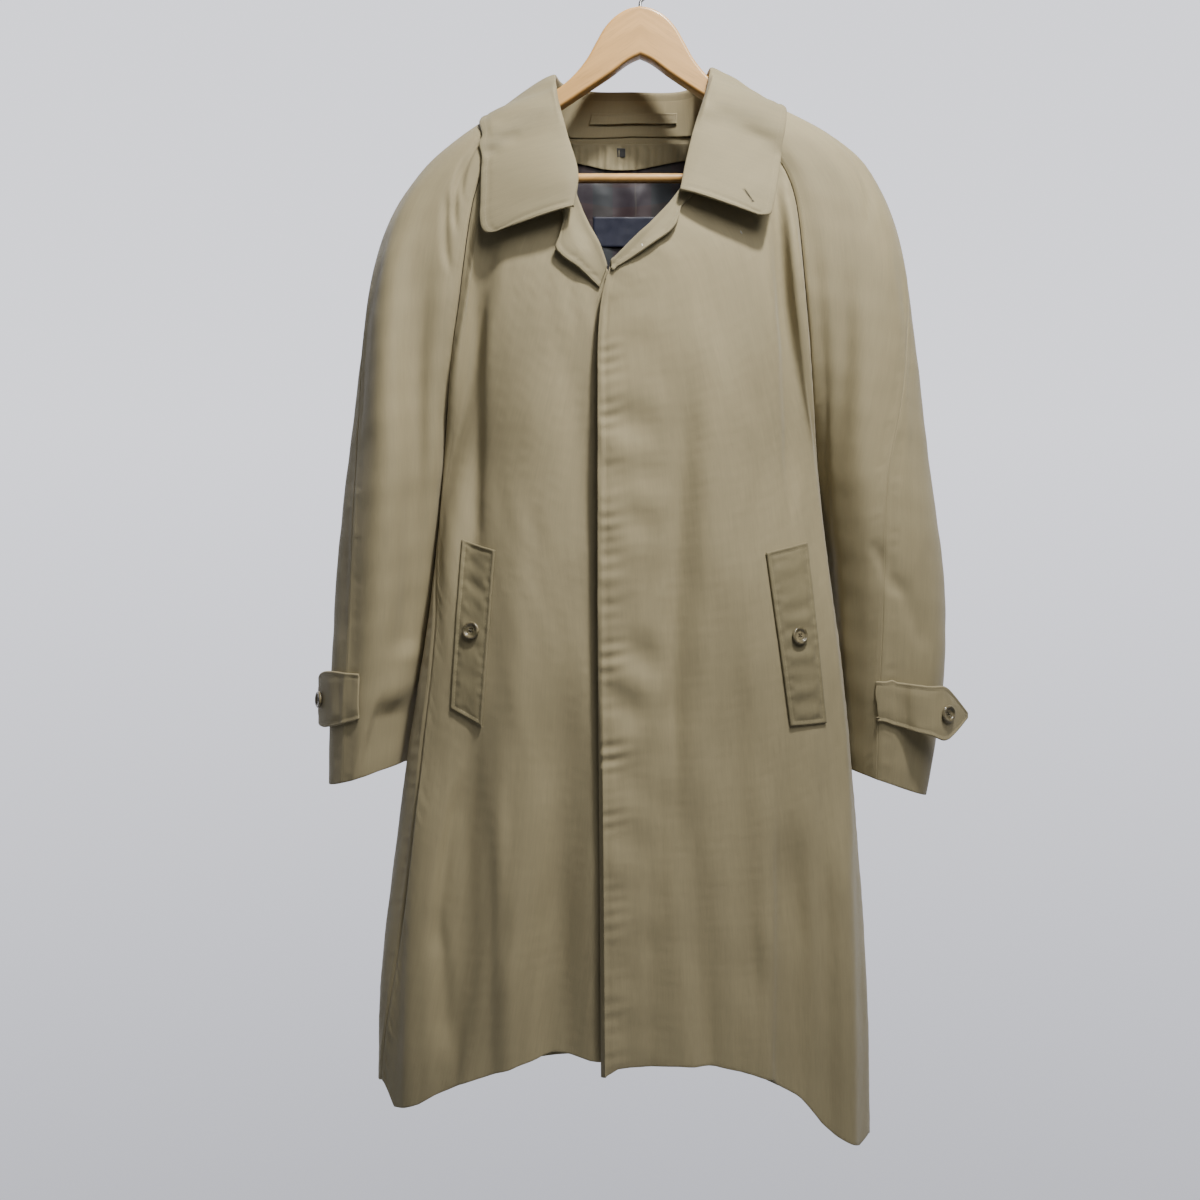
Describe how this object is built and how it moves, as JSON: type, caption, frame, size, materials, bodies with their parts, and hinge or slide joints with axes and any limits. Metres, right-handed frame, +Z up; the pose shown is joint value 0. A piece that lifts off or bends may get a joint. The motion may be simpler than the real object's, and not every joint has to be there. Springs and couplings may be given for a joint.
{
  "type": "balmacaan coat on a wooden hanger",
  "caption": "Knee-length raglan-sleeved cotton coat with a turned-down collar and covered front, buttoned up and hung on a shaped wooden hanger with a bar and a wire hook.",
  "frame": {"origin": "the saddle of the hanger's hook: the inside of its bow, at the top, on the hanger's middle plane", "axes": "+Z up; +X towards the wearer's left, which is the right-hand side seen from the front; -Y out of the coat's front and +Y out of its back"},
  "size_m": [0.6709, 0.1901, 1.2193],
  "materials": {
    "shell_twill": "matt water-repellent cotton twill, stone beige",
    "facing_twill": "the same twill where it is turned out or faces the neck",
    "lining_cloth": "dark smooth lining",
    "label_satin": "navy woven satin, blank",
    "tab_black": "black tape, blank",
    "horn_button": "polished dark horn effect",
    "beech": "clear-lacquered beech",
    "hook_steel": "bright plated wire"
  },
  "bodies": {
    "root": {"front_left": "shell_twill", "front_right": "shell_twill", "back": "shell_twill", "sleeve_left_front": "shell_twill", "sleeve_left_back": "shell_twill", "sleeve_right_front": "shell_twill", "sleeve_right_back": "shell_twill", "collar_stand": "shell_twill", "hang_loop": "shell_twill", "pocket_welt_left": "shell_twill", "pocket_welt_right": "shell_twill", "cuff_tab_left": "shell_twill", "cuff_tab_right": "shell_twill", "collar_leaf": "facing_twill", "facing_left": "facing_twill", "facing_right": "facing_twill", "neck_facing": "facing_twill", "lining": "lining_cloth", "neck_label": "label_satin", "size_tab": "tab_black", "pocket_button_left": "horn_button", "pocket_button_right": "horn_button", "cuff_button_left": "horn_button", "cuff_button_right": "horn_button", "hanger_body": "beech", "hanger_bar": "beech", "hanger_hook": "hook_steel"}
  },
  "joints": []
}
